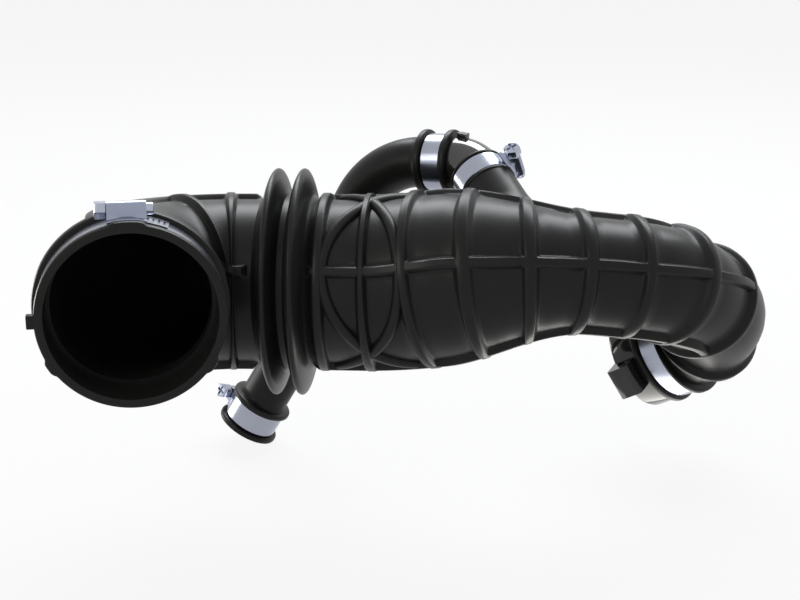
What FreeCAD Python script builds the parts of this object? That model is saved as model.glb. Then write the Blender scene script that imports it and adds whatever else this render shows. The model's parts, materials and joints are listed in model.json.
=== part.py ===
import FreeCAD, Part
import math
import os

from FreeCAD import Placement, Rotation, Vector

# Air intake hose in millimetres. The origin is the centre of the inlet mouth, which faces -Y,
# +Z is up and the duct runs towards +X.

doc = FreeCAD.newDocument("air_intake_hose")
sheet = doc.addObject("Spreadsheet::Sheet", "Sizes")

# Each run is a straight length, and each bend turns to a new heading and pitch in degrees.
SIZES = {
    # Centreline of the main duct
    "neck_run": 23.3,
    "neck_radius": 52.0,
    "neck_pitch": -8.5,
    "elbow_run": 1.0,
    "elbow_radius": 44.0,
    "barrel_heading": -13.8,
    "barrel_pitch": 0.7,
    "barrel_run": 53.0,
    "belly_radius": 120.0,
    "belly_heading": -24.2,
    "belly_pitch": 10.9,
    "belly_run": 19.1,
    "crest_radius": 100.0,
    "tail_heading": 4.5,
    "tail_pitch": -9.3,
    "tail_run": 15.9,
    "sweep_radius": 60.0,
    "sweep_heading": 45.0,
    "sweep_pitch": -30.4,
    "sweep_run": 21.1,
    "hook_radius": 34.0,
    "outlet_heading": 137.9,
    "outlet_pitch": -30.1,
    "outlet_run": 13.5,
    # Duct wall
    "barrel_size": 38.4,
    "tail_size": 26.2,
    "wall": 3.6,
    "taper_start": 57.5,
    "taper_length": 70.0,
    # Moulded ribs, each ring by its distance from the one before
    "elbow_lead": 15.6,
    "elbow_gap": 22.6,
    "ring_gap_1": 4.2,
    "ring_gap_2": 21.2,
    "ring_gap_3": 26.4,
    "ring_gap_4": 25.0,
    "ring_gap_5": 22.0,
    "ring_gap_6": 22.0,
    "ring_gap_7": 25.5,
    "ring_gap_8": 25.0,
    "ring_gap_9": 30.1,
    "ring_gap_10": 41.0,
    "ring_height": 2.7,
    "ring_foot": 8.4,
    "ring_tip": 3.6,
    "seam_step": 0.9,
    "seam_foot": 7.2,
    "seam_tip": 4.2,
    "seam_angle": 23.5,
    "star_width": 4.6,
    "star_step": 0.3,
    # Bellows
    "fold_lead": 20.0,
    "fold_pitch": 12.2,
    "fold_height": 12.1,
    "root_step": 2.5,
    "fold_base": 6.4,
    "fold_foot": 4.8,
    "fold_tip": 2.2,
    "fold_crown": 0.9,
    "fold_join": 4.0,
    "fold_sink": 2.0,
    # Inlet collar
    "mouth_inset": 1.9,
    "mouth_depth": 20.0,
    "seat_step": 0.8,
    "lip_step": 1.4,
    "bead_step": 3.2,
    "lip_length": 4.0,
    "mouth_band": 12.0,
    "bead_length": 5.0,
    "band_play": 0.6,
    "collar_edge": 0.6,
    "tab_length": 3.0,
    "tab_width": 6.0,
    # Outlet collar
    "outlet_step": 0.4,
    "outlet_rise": 2.8,
    "outlet_band": 9.0,
    "socket_step": 0.4,
    # Vent stub, vent elbow and vent hose
    "stub_station": 108.5,
    "stub_heading": 108.9,
    "stub_pitch": 26.7,
    "stub_run": 73.0,
    "stub_edge": 1.5,
    "stub_rise": 1.1,
    "cuff_step": 0.8,
    "cuff_rise": 3.0,
    "hose_wall": 1.8,
    "vent_band": 9.5,
    "lower_band": 11.0,
    "vent_lip": 3.0,
    "knee_radius": 17.0,
    "knee_step": 0.4,
    "knee_wall": 1.85,
    "spigot_length": 13.0,
    "cuff_heading": 146.4,
    "cuff_pitch": -4.0,
    "cuff_run": 17.5,
    "hose_skin": 12.4,
    "hose_bend": 42.0,
    "drop_heading": 160.6,
    "drop_pitch": -67.2,
    "drop_run": 72.5,
    "drop_bend": 60.0,
    "end_heading": 166.9,
    "end_pitch": -59.7,
    "end_run": 55.8,
    # Outlet connector
    "plug_depth": 12.0,
    "plug_wall": 3.0,
    "flange_step": 1.0,
    "plug_length": 13.0,
    "plug_lead": 2.0,
    "plug_edge": 1.0,
    "lug_length": 12.0,
    "lug_width": 16.0,
    "lug_height": 9.0,
    "lug_hole": 2.2,
    "lug_clock": 350.0,
    # Worm-drive clamps
    "band_thick": 0.8,
    "housing_length": 16.5,
    "housing_height": 8.0,
    "small_length": 13.0,
    "small_height": 7.4,
    "inlet_clock": 90.0,
    "outlet_clock": 200.0,
    "stub_clock": 150.0,
    "upper_clock": 145.0,
    "lower_clock": 130.0,
    "screw_lift": 4.4,
    "screw_radius": 2.6,
    "screw_tail": 3.0,
    "head_radius": 4.0,
    "head_length": 5.0,
    "slot_width": 1.2,
    "slot_depth": 1.4,
    "clearance": 0.15,
}

# Radii that follow from the sizes above
RADII = {
    "mouth_bore": "=barrel_size - mouth_inset",
    "mouth_seat": "=barrel_size + seat_step",
    "mouth_lip": "=mouth_seat + lip_step",
    "mouth_bead": "=mouth_seat + bead_step",
    "fold_root": "=barrel_size + root_step",
    "fold_size": "=fold_root + fold_height",
    "outlet_seat": "=tail_size + outlet_step",
    "outlet_lip": "=outlet_seat + outlet_rise",
    "plug_flange": "=outlet_seat + flange_step",
    "vent_bore": "=hose_skin - hose_wall",
    "vent_seat": "=hose_skin + cuff_step",
    "vent_rim": "=vent_seat + cuff_rise",
    "stub_rim": "=vent_seat + stub_rise",
    "knee_skin": "=hose_skin + knee_step",
    "knee_bore": "=vent_bore - clearance - knee_wall",
}

for row, (alias, value) in enumerate([*SIZES.items(), *RADII.items()], start=1):
    sheet.set(f"A{row}", alias)
    sheet.set(f"B{row}", str(value))
    sheet.setAlias(f"B{row}", alias)
doc.recompute()

UP = Vector(0, 0, 1)
ORIGIN = Vector(0, 0, 0)
RIBS_AROUND = 4
BARREL_RINGS = 10
THINNING = 0.4
LONGEST_STEP = 20.0
LARGEST_TURN = math.radians(16.0)
OVERRUN = 2.0


def size(alias):
    return float(sheet.get(alias))


def aim(heading, pitch):
    """Unit vector of a heading from +X and a pitch above level."""
    turn = math.radians(heading)
    rise = math.radians(pitch)
    return Vector(math.cos(rise) * math.cos(turn), math.cos(rise) * math.sin(turn), math.sin(rise))


class Route:
    """Centreline of straight runs and tangent arcs, read by the distance along it."""

    def __init__(self, start, direction):
        self.end = start
        self.direction = direction
        self.length = 0.0
        self.pieces = []

    def run(self, length):
        self.pieces.append((self.length, length, self.end, self.direction, None, 0.0))
        self.end = self.end + self.direction * length
        self.length += length

    def bend(self, direction, radius):
        angle = self.direction.getAngle(direction)
        inward = direction - self.direction * self.direction.dot(direction)
        inward.normalize()
        self.pieces.append((self.length, angle * radius, self.end, self.direction, inward, radius))
        self.end = (
            self.end
            + inward * (radius * (1 - math.cos(angle)))
            + self.direction * (radius * math.sin(angle))
        )
        self.direction = direction
        self.length += angle * radius

    def at(self, station):
        """Point and tangent, carried on straight past either end."""
        piece = self.pieces[0]
        for candidate in self.pieces:
            if candidate[0] <= station:
                piece = candidate
        begin, length, point, direction, inward, radius = piece
        along = station - begin
        if inward is None:
            return point + direction * along, direction
        angle = along / radius
        place = point + inward * (radius * (1 - math.cos(angle))) + direction * (radius * math.sin(angle))
        return place, direction * math.cos(angle) + inward * math.sin(angle)

    def frame(self, station):
        """Placement with Z along the route, X level and Y upwards."""
        point, tangent = self.at(station)
        side = UP.cross(tangent).normalize()
        return Placement(point, Rotation(side, tangent.cross(side), tangent, "ZXY"))


def pipe(route, radius, over=0.0):
    """Solid round rod along a route that begins and ends straight, longer by over at each end."""
    rods = []
    for begin, length, point, direction, inward, bend in route.pieces:
        if inward is None:
            first = over if begin == 0.0 else 0.0
            last = over if begin + length == route.length else 0.0
            foot = point - direction * first
            rods.append(Part.makeCylinder(radius, first + length + last, foot, direction))
        else:
            disc = Part.Face(Part.Wire(Part.makeCircle(radius, point, direction)))
            axis = direction.cross(inward)
            rods.append(disc.revolve(point + inward * bend, axis, math.degrees(length / bend)))
    return rods[0].multiFuse(rods[1:]).removeSplitter()


def polar(radius, degrees):
    angle = math.radians(degrees)
    return Vector(radius * math.cos(angle), radius * math.sin(angle), 0)


def ring_wire(radius):
    """Round section of four quarter circles."""
    starts = (0, 90, 180, 270)
    arcs = [Part.Arc(*[polar(radius, start + turn) for turn in (0, 45, 90)]) for start in starts]
    return Part.Wire([arc.toShape() for arc in arcs])


def seamed_wire(skin, crown):
    """Round section with the long seam ribs standing up from skin to crown."""
    pitch = 360.0 / RIBS_AROUND
    foot = math.degrees(size("seam_foot") / 2 / skin)
    tip = math.degrees(size("seam_tip") / 2 / crown)
    edges = []
    for number in range(RIBS_AROUND):
        middle = 180.0 - size("seam_angle") + pitch * number
        corners = [
            polar(skin, middle - foot),
            polar(crown, middle - tip),
            polar(crown, middle + tip),
            polar(skin, middle + foot),
        ]
        edges += [Part.makeLine(a, b) for a, b in zip(corners, corners[1:])]
        arc = Part.Arc(corners[3], polar(skin, middle + pitch / 2), polar(skin, middle + pitch - foot))
        edges.append(arc.toShape())
    return Part.Wire(edges)


def placed(sections):
    wires = []
    for wire, place in sections:
        wire.Placement = place
        wires.append(wire)
    return wires


def round_loft(sections):
    """Solid of ruled faces from each round section to the next."""
    wires = placed(sections)
    faces = [Part.Face(wires[0]), Part.Face(wires[-1])]
    for here, there in zip(wires, wires[1:]):
        faces += [Part.makeRuledSurface(a, b) for a, b in zip(here.Edges, there.Edges)]
    skin = Part.makeShell(faces)
    skin.sewShape()
    return Part.makeSolid(skin)


def steps(route, start, end):
    """Stations from start to end, closer where the route bends."""
    turn = 0.0
    for begin, length, _, _, inward, radius in route.pieces:
        if inward is not None:
            shared = min(end, begin + length) - max(start, begin)
            turn += max(shared, 0.0) / radius
    count = max(1, math.ceil((end - start) / LONGEST_STEP), math.ceil(turn / LARGEST_TURN))
    return [start + (end - start) * number / count for number in range(count + 1)]


def turned(profile, place):
    """Solid of revolution from (distance, radius) corners along the placement's Z."""
    corners = [Vector(radius, 0, along) for along, radius in profile]
    face = Part.Face(Part.makePolygon(corners + corners[:1]))
    solid = face.revolve(ORIGIN, UP, 360)
    solid.Placement = place
    return solid


def feature(label, shape):
    item = doc.addObject("Part::Feature", label)
    item.Shape = shape
    return item


def boolean(kind, label, *items):
    """Fusion of all items, or the first cut by the second."""
    item = doc.addObject(kind, label)
    if kind == "Part::MultiFuse":
        item.Shapes = list(items)
    else:
        item.Base, item.Tool = items
    return item


# Main duct

duct = Route(ORIGIN, aim(90.0, 0.0))
duct.run(size("neck_run"))
duct.bend(aim(90.0, size("neck_pitch")), size("neck_radius"))
duct.run(size("elbow_run"))
duct.bend(aim(size("barrel_heading"), size("barrel_pitch")), size("elbow_radius"))
barrel_start = duct.length
duct.run(size("barrel_run"))
duct.bend(aim(size("belly_heading"), size("belly_pitch")), size("belly_radius"))
duct.run(size("belly_run"))
duct.bend(aim(size("tail_heading"), size("tail_pitch")), size("crest_radius"))
duct.run(size("tail_run"))
duct.bend(aim(size("sweep_heading"), size("sweep_pitch")), size("sweep_radius"))
duct.run(size("sweep_run"))
duct.bend(aim(size("outlet_heading"), size("outlet_pitch")), size("hook_radius"))
duct.run(size("outlet_run"))

fold_middle = barrel_start + size("fold_lead")
folds_end = fold_middle + size("fold_pitch") / 2 + size("fold_base")
folds_start = fold_middle - size("fold_pitch") / 2 - size("fold_base")
collar_end = size("lip_length") + size("mouth_band") + 2 * size("band_play") + size("bead_length")
outlet_groove = size("outlet_band") + 2 * size("band_play")
outlet_collar = duct.length - 2 * size("vent_lip") - outlet_groove

# Ring ribs: two on the elbow, then a row from the bellows to the outlet
last_elbow_ring = folds_start - size("elbow_lead")
elbow_rings = [last_elbow_ring - size("elbow_gap"), last_elbow_ring]
barrel_rings = []
ring_station = folds_end
for number in range(1, BARREL_RINGS + 1):
    ring_station += size(f"ring_gap_{number}")
    barrel_rings.append(ring_station)


def skin_at(station):
    """Outer radius between ribs, easing from the barrel to the tail."""
    share = (station - folds_end - size("taper_start")) / size("taper_length")
    share = min(max(share, 0.0), 1.0)
    ease = share * share * (3 - 2 * share)
    return size("barrel_size") + (size("tail_size") - size("barrel_size")) * ease


def ribbed_skin(start, end, rings):
    """Duct from start to end with its ring ribs and seam ribs, as one solid."""
    marks = [(start, 0.0)]
    for ring in rings:
        marks += [
            (ring - size("ring_foot") / 2, 0.0),
            (ring - size("ring_tip") / 2, size("ring_height")),
            (ring + size("ring_tip") / 2, size("ring_height")),
            (ring + size("ring_foot") / 2, 0.0),
        ]
    marks.append((end, 0.0))
    levels = []
    for (here, height), (there, _) in zip(marks, marks[1:]):
        levels += [(station, height) for station in steps(duct, here, there)[:-1]]
    levels.append(marks[-1])
    crown = size("ring_height") + size("seam_step")
    sections = []
    for station, height in levels:
        skin = skin_at(station)
        sections.append((seamed_wire(skin + height, skin + crown), duct.frame(station)))
    return Part.makeLoft(placed(sections), True, True)


def fold_profile(lift):
    """Bellows outline along its axis, moved in or out by lift. A fold also gets thinner inwards."""
    half = size("fold_pitch") / 2
    tip = size("fold_tip") + lift * THINNING
    crown = tip * size("fold_crown") / size("fold_tip")
    crest = size("fold_size") + lift
    root = size("fold_root") + lift
    base = size("barrel_size") + lift - size("fold_sink")
    end = half + size("fold_base") + size("fold_crown")
    outline = [(-end, base)]
    for middle in (-half, half):
        outline += [
            (middle - size("fold_foot"), root),
            (middle - tip, crest - size("fold_tip")),
            (middle - crown, crest),
            (middle + crown, crest),
            (middle + tip, crest - size("fold_tip")),
            (middle + size("fold_foot"), root),
        ]
    outline.append((end, base))
    return outline


def solid_of(outline, place):
    return turned([(outline[0][0], 0.0)] + outline + [(outline[-1][0], 0.0)], place)


def inlet_collar():
    """Lip, groove for the clamp band and bead behind it."""
    edge = size("collar_edge")
    groove_end = collar_end - size("bead_length")
    outline = [
        (0.0, size("mouth_lip") - edge),
        (edge, size("mouth_lip")),
        (size("lip_length"), size("mouth_lip")),
        (size("lip_length"), size("mouth_seat")),
        (groove_end, size("mouth_seat")),
        (groove_end, size("mouth_bead")),
        (collar_end - edge, size("mouth_bead")),
        (collar_end, size("mouth_bead") - edge),
    ]
    return solid_of(outline, duct.frame(0.0))


def end_collar(place, seat, lip, band, lip_length):
    """Bead, band groove and lip that end at the placement, which points out of the hose."""
    groove = band + 2 * size("band_play")
    outline = [
        (-groove - 2 * lip_length, lip),
        (-groove - lip_length, lip),
        (-groove - lip_length, seat),
        (-lip_length, seat),
        (-lip_length, lip),
        (0.0, lip),
    ]
    return solid_of(outline, place)


def star_ribs():
    """Two rings that lean opposite ways and cross between the first and third barrel rings."""
    start = barrel_rings[0]
    end = barrel_rings[2]
    height = size("ring_height") - size("star_step")
    sections = [(ring_wire(skin_at(s) + height), duct.frame(s)) for s in steps(duct, start, end)]
    sleeve = round_loft(sections)
    across = 2 * size("barrel_size")
    lean = math.degrees(math.atan2(end - start, across))
    place = duct.frame((start + end) / 2) * Placement(ORIGIN, Rotation(UP, 90.0 - size("seam_angle")))
    ribs = []
    for side in (-lean, lean):
        slab = Part.makeBox(2 * across, 2 * across, size("star_width"))
        slab.translate(Vector(-across, -across, -size("star_width") / 2))
        slab.Placement = place * Placement(ORIGIN, Rotation(Vector(1, 0, 0), side)) * slab.Placement
        ribs.append(sleeve.common(slab))
    return ribs


def bore(route, start, end, radius_at):
    """Clear way through a route, as the solid to take out."""
    return round_loft([(ring_wire(radius_at(s)), route.frame(s)) for s in steps(route, start, end)])


def duct_bore(station):
    return skin_at(station) - size("wall")


stub_root = duct.at(folds_end + size("stub_station"))[0]
stub = Route(stub_root, aim(size("stub_heading"), size("stub_pitch")))
stub.run(size("stub_run"))
stub_end = stub.frame(stub.length)
outlet_end = duct.frame(duct.length)

socket_bore = size("tail_size") - size("wall") + size("socket_step")
collar_root = collar_end - size("bead_length") / 2
outlet_root = outlet_collar + size("vent_lip") / 2
tab = Part.makeBox(size("tab_length") + OVERRUN, size("tab_width"), size("lip_length"))
tab.translate(Vector(size("mouth_lip") - OVERRUN, -size("tab_width") / 2, 0))
tab.Placement = duct.frame(0.0) * tab.Placement
outer = [
    inlet_collar(),
    tab,
    ribbed_skin(collar_root, folds_start + size("fold_join"), elbow_rings),
    solid_of(fold_profile(0.0), duct.frame(fold_middle)),
    ribbed_skin(folds_end - size("fold_join"), outlet_root, barrel_rings),
    end_collar(outlet_end, size("outlet_seat"), size("outlet_lip"), size("outlet_band"), size("vent_lip")),
    Part.makeCylinder(size("vent_seat"), stub.length - size("stub_edge"), stub_root, stub.direction),
    end_collar(stub_end, size("vent_seat"), size("stub_rim"), size("vent_band"), size("stub_edge")),
] + star_ribs()
mouth = [(-OVERRUN, size("mouth_bore")), (size("mouth_depth"), size("mouth_bore"))]
socket = [(-size("plug_depth") - size("clearance"), socket_bore), (OVERRUN, socket_bore)]
inner = [
    solid_of(mouth, duct.frame(0.0)),
    solid_of(socket, outlet_end),
    bore(duct, size("mouth_depth") / 2, fold_middle - size("fold_tip"), duct_bore),
    bore(duct, fold_middle + size("fold_tip"), duct.length + OVERRUN, duct_bore),
    solid_of(fold_profile(-size("wall")), duct.frame(fold_middle)),
    Part.makeCylinder(size("vent_bore"), stub.length + OVERRUN, stub_root, stub.direction),
]
hose_outer = feature("hose_outer", outer[0].multiFuse(outer[1:]))
hose_inner = feature("hose_inner", inner[0].multiFuse(inner[1:]))
parts = [boolean("Part::Cut", "intake_hose", hose_outer, hose_inner)]

# Vent elbow: a bend with a shoulder at each end and a spigot into each hose

knee = Route(stub.at(stub.length - size("spigot_length"))[0], stub.direction)
knee.run(size("spigot_length"))
knee.bend(aim(size("cuff_heading"), size("cuff_pitch")), size("knee_radius"))
knee_end = knee.end
knee.run(size("spigot_length"))


def knee_body():
    """Bend between the two shoulders, a clearance short of each hose."""
    gap = size("clearance") / size("knee_radius")
    begin, length, point, direction, inward, bend = knee.pieces[1]
    disc = Part.Face(Part.Wire(Part.makeCircle(size("knee_skin"), point, direction)))
    centre = point + inward * bend
    axis = direction.cross(inward)
    disc.rotate(centre, axis, math.degrees(gap))
    return disc.revolve(centre, axis, math.degrees(length / bend - 2 * gap))


knee_outer = pipe(knee, size("vent_bore") - size("clearance"))
knee_rod = feature("vent_elbow_outer", knee_outer.fuse(knee_body()))
knee_way = feature("vent_elbow_way", pipe(knee, size("knee_bore"), OVERRUN))
parts.append(boolean("Part::Cut", "vent_elbow", knee_rod, knee_way))

# Vent hose: cuffs at both ends and two bends on the way down

vent = Route(knee_end, aim(size("cuff_heading"), size("cuff_pitch")))
vent.run(size("cuff_run"))
vent.bend(aim(size("drop_heading"), size("drop_pitch")), size("hose_bend"))
vent.run(size("drop_run"))
vent.bend(aim(size("end_heading"), size("end_pitch")), size("drop_bend"))
vent.run(size("end_run"))
vent_start = vent.frame(0.0) * Placement(ORIGIN, Rotation(Vector(1, 0, 0), 180))
vent_end = vent.frame(vent.length)
vent_outer = pipe(vent, size("hose_skin")).multiFuse([
    end_collar(vent_start, size("vent_seat"), size("vent_rim"), size("vent_band"), size("vent_lip")),
    end_collar(vent_end, size("vent_seat"), size("vent_rim"), size("lower_band"), size("vent_lip")),
])
vent_rod = feature("vent_hose_outer", vent_outer)
vent_way = feature("vent_hose_way", pipe(vent, size("vent_bore"), OVERRUN))
parts.append(boolean("Part::Cut", "vent_hose", vent_rod, vent_way))


def connector():
    """Sleeve plugged into the outlet collar, with a drilled block lug on its flange."""
    spigot = socket_bore - size("clearance")
    way = spigot - size("plug_wall")
    face = size("clearance")
    sleeve = turned(
        [
            (-size("plug_depth"), way),
            (-size("plug_depth"), spigot - size("plug_edge")),
            (-size("plug_depth") + size("plug_lead"), spigot),
            (face, spigot),
            (face, size("plug_flange")),
            (size("plug_length") - size("plug_edge"), size("plug_flange")),
            (size("plug_length"), size("plug_flange") - size("plug_edge")),
            (size("plug_length"), way),
        ],
        Placement(),
    )
    reach = size("plug_flange") + size("lug_height")
    lug = Part.makeBox(reach - spigot, size("lug_width"), size("lug_length"))
    lug_root = face + size("plug_edge")
    lug.translate(Vector(spigot, -size("lug_width") / 2, lug_root))
    hole_height = size("plug_flange") + size("lug_height") / 2
    hole_start = Vector(hole_height, -size("lug_width"), lug_root + size("lug_length") / 2)
    hole = Part.makeCylinder(size("lug_hole"), 2 * size("lug_width"), hole_start, Vector(0, 1, 0))
    solid = sleeve.fuse(lug.cut(hole))
    solid.Placement = outlet_end * Placement(ORIGIN, Rotation(UP, size("lug_clock")))
    return solid


parts.append(feature("outlet_connector", connector()))


def primitive(kind, label, **sizes):
    item = doc.addObject(kind, label)
    for name, formula in sizes.items():
        item.setExpression(name.replace("__", ".Base."), formula)
    return item


def clamp(name, seat, band, housing, place):
    """Worm-drive clamp about the placement's Z, housing towards X and screw along Y, head at -Y."""
    inside = f"(Sizes.{seat} + Sizes.clearance)"
    outside = f"(Sizes.{seat} + Sizes.clearance + Sizes.band_thick)"
    length = f"Sizes.{housing}_length"
    height = f"Sizes.{housing}_height"
    width = f"(Sizes.{band} + 2 * Sizes.band_play - 2 * Sizes.clearance)"
    lift = f"({outside} + Sizes.screw_lift)"
    sideways = Rotation(Vector(1, 0, 0), -90)

    ring = primitive(
        "Part::Cylinder",
        f"{name}_ring",
        Radius=outside,
        Height=f"Sizes.{band}",
        Placement__z=f"-Sizes.{band} / 2",
    )
    hollow = primitive(
        "Part::Cylinder",
        f"{name}_hollow",
        Radius=inside,
        Height=f"2 * Sizes.{band}",
        Placement__z=f"-Sizes.{band}",
    )
    band_item = boolean("Part::Cut", f"{name}_band", ring, hollow)

    foot = f"sqrt({outside} ^ 2 - ({length} / 2) ^ 2)"
    block = primitive(
        "Part::Box",
        f"{name}_block",
        Length=f"{outside} + {height} - {foot}",
        Width=length,
        Height=width,
        Placement__x=foot,
        Placement__y=f"-{length} / 2",
        Placement__z=f"-{width} / 2",
    )
    saddle = primitive(
        "Part::Cylinder",
        f"{name}_saddle",
        Radius=f"{outside} + Sizes.clearance",
        Height=f"2 * {width}",
        Placement__z=f"-{width}",
    )
    seated = boolean("Part::Cut", f"{name}_seated", block, saddle)
    tunnel = primitive(
        "Part::Cylinder",
        f"{name}_tunnel",
        Radius="Sizes.screw_radius + Sizes.clearance",
        Height=f"2 * {length}",
    )
    tunnel.Placement.Rotation = sideways
    tunnel.setExpression("Placement.Base.x", lift)
    tunnel.setExpression("Placement.Base.y", f"-{length}")
    housing_item = boolean("Part::Cut", f"{name}_housing", seated, tunnel)

    shank = primitive(
        "Part::Cylinder",
        f"{name}_shank",
        Radius="Sizes.screw_radius",
        Height=f"{length} + 2 * Sizes.screw_tail",
    )
    shank.Placement.Rotation = sideways
    shank.setExpression("Placement.Base.x", lift)
    shank.setExpression("Placement.Base.y", f"-{length} / 2 - Sizes.screw_tail")
    head = primitive(
        "Part::Prism",
        f"{name}_head",
        Circumradius="Sizes.head_radius",
        Height="Sizes.head_length",
    )
    head.Polygon = 6
    head.Placement.Rotation = sideways
    head.setExpression("Placement.Base.x", lift)
    head.setExpression("Placement.Base.y", f"-{length} / 2 - Sizes.clearance - Sizes.head_length")
    bolt = boolean("Part::MultiFuse", f"{name}_bolt", shank, head)
    slot = primitive(
        "Part::Box",
        f"{name}_slot",
        Length="2.4 * Sizes.head_radius",
        Width="Sizes.slot_depth",
        Height="Sizes.slot_width",
        Placement__x=f"{lift} - 1.2 * Sizes.head_radius",
        Placement__y=f"-{length} / 2 - Sizes.clearance - Sizes.head_length",
        Placement__z="-Sizes.slot_width / 2",
    )
    screw_item = boolean("Part::Cut", f"{name}_screw", bolt, slot)
    items = [band_item, housing_item, screw_item]
    for item in items:
        item.Placement = place
    return items


def clocked(place, along, degrees):
    """Placement moved along its Z, then turned about it."""
    return place * Placement(Vector(0, 0, along), Rotation(UP, degrees))


stub_middle = -size("stub_edge") - size("band_play") - size("vent_band") / 2
upper_middle = -size("vent_lip") - size("band_play") - size("vent_band") / 2
lower_middle = -size("vent_lip") - size("band_play") - size("lower_band") / 2
outlet_middle = -size("vent_lip") - size("band_play") - size("outlet_band") / 2
inlet_middle = size("lip_length") + size("band_play") + size("mouth_band") / 2
clamps = [
    ("inlet_clamp", "mouth_seat", "mouth_band", "housing", duct.frame(0.0), inlet_middle, "inlet_clock"),
    ("outlet_clamp", "outlet_seat", "outlet_band", "housing", outlet_end, outlet_middle, "outlet_clock"),
    ("stub_clamp", "vent_seat", "vent_band", "small", stub_end, stub_middle, "stub_clock"),
    ("upper_clamp", "vent_seat", "vent_band", "small", vent_start, upper_middle, "upper_clock"),
    ("lower_clamp", "vent_seat", "lower_band", "small", vent_end, lower_middle, "lower_clock"),
]
for name, seat, band, housing, place, along, clock in clamps:
    parts += clamp(name, seat, band, housing, clocked(place, along, size(clock)))

doc.recompute()
for item in doc.Objects:
    if "Invalid" in item.State or "Error" in item.State:
        raise RuntimeError(f"{item.Label} did not build")
for part in parts:
    if part.Shape.isNull() or not part.Shape.isValid():
        raise RuntimeError(f"{part.Label} is not a valid solid")
os.makedirs("parts", exist_ok=True)
for part in parts:
    part.Shape.exportStep(f"parts/{part.Label}.step")
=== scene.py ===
import json
import math

import bmesh
import bpy
from mathutils import Matrix, Vector


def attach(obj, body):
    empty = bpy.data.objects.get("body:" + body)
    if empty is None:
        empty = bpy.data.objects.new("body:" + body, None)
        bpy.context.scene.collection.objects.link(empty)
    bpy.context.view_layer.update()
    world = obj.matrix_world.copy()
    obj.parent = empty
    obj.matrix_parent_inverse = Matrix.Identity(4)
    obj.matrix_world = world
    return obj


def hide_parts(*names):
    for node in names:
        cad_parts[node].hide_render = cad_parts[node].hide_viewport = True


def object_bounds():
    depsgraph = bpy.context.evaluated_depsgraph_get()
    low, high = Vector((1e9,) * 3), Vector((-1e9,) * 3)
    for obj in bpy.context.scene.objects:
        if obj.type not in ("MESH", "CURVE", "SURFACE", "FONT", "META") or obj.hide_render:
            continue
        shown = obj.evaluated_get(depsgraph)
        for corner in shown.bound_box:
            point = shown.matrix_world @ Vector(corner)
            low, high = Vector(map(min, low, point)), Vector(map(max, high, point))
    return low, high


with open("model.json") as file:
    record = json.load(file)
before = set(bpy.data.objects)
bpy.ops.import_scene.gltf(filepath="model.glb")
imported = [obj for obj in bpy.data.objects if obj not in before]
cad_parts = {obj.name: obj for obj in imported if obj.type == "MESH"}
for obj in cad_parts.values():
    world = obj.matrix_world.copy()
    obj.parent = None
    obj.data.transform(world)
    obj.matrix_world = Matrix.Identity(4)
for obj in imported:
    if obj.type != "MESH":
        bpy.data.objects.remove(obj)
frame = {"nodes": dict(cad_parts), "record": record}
cad_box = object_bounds()

# Lengths are millimetres and angles degrees, as in the part's source, until a mesh is finished.
MM = 0.001
UP = Vector((0, 0, 1))
CLEARANCE = 0.15

# Duct walls and ribs. The tail's skin is a little under its size, so its ribs stay in the CAD box.
BARREL_SIZE = 38.4
TAIL_SIZE = 26.2
TAIL_SKIN = 25.7
WALL = 3.6
TAPER_START = 57.5
TAPER_LENGTH = 70.0
RING_HEIGHT = 3.3
RING_TIP = 1.3
RING_FOOT = 3.7
SEAM_HEIGHT = 3.0
SEAM_TIP = 1.3
SEAM_FOOT = 3.3
SEAM_ANGLE = 156.5
SEAM_GAP = 2.0
SEAM_LAP = 1.0
SEAM_FADE = 3.0
SEAM_STOP = 4.0
SEAM_OVERRUN = 2.0
ELBOW_RING_LEADS = (38.2, 15.6)
BARREL_RING_GAPS = (4.2, 21.2, 26.4, 25.0, 22.0, 22.0, 25.5, 25.0, 30.1, 41.0)
STAR_HEIGHT = 2.8
STAR_DEPTH = 1.2
STAR_WIDTH = 2.8
STAR_CROSSING = 63.0
STAR_INSET = 2.0
STAR_STEPS = 192

# Rounded edges. Pairs are a distance back from an edge and the inset there.
ROUND_SHARE = 0.3
MOUTH_EDGE = 1.0
LIP_ROUNDING = ((0.8, 0.0), (0.2, 0.3), (0.0, 0.9))
BEAD_EDGE = 1.2
CUFF_EDGE = 0.9
STUB_RIM_EDGE = 0.5
TAB_EDGE = 0.5
STOP_EDGE = 0.4
KNEE_EDGE = 0.4
KNEE_INSET = 0.5
SPIGOT_LEAD = 2.0
SPIGOT_INSET = 1.0
FLANGE_EDGE = 0.6
FLANGE_ROUNDING = ((1.4, 0.0), (0.4, 0.4), (0.0, 1.2))
WAY_EDGE = 0.8

# Spacing of the rows along each skin. Ring slope and flare step are shares of their own length.
SKIN_STEP = 4.0
LEAST_STEP = 0.3
RING_SLOPE = (0.35, 0.48, 0.61, 0.74, 0.87, 1.0)
FADE_LEAD = 7.0
FADE_STEP = 1.0
FOLD_STEP = 0.5
INSIDE_STEP = 6.0
SKIN_LEAD = 0.5
SKIN_TRAIL = 0.3
FLARE_STEP = 0.08
FOOT_STEP = 0.5
NEAR_REACH = 50.0
NEAR_STEP = 2.0
KNEE_STEP = 0.8
KNEE_BORE_STEP = 1.5
VENT_STEP = 2.5
VENT_BORE_STEP = 4.0

# Bellows
FOLD_LEAD = 20.0
FOLD_PITCH = 12.2
FOLD_SIZE = 53.0
FOLD_ROOT = 40.9
FOLD_FOOT = 4.3
FOLD_BASE = 6.4
FOLD_SHAPE = 2.2
FOLD_EASE = 2.5
FOLD_INSIDE = 0.62

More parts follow.
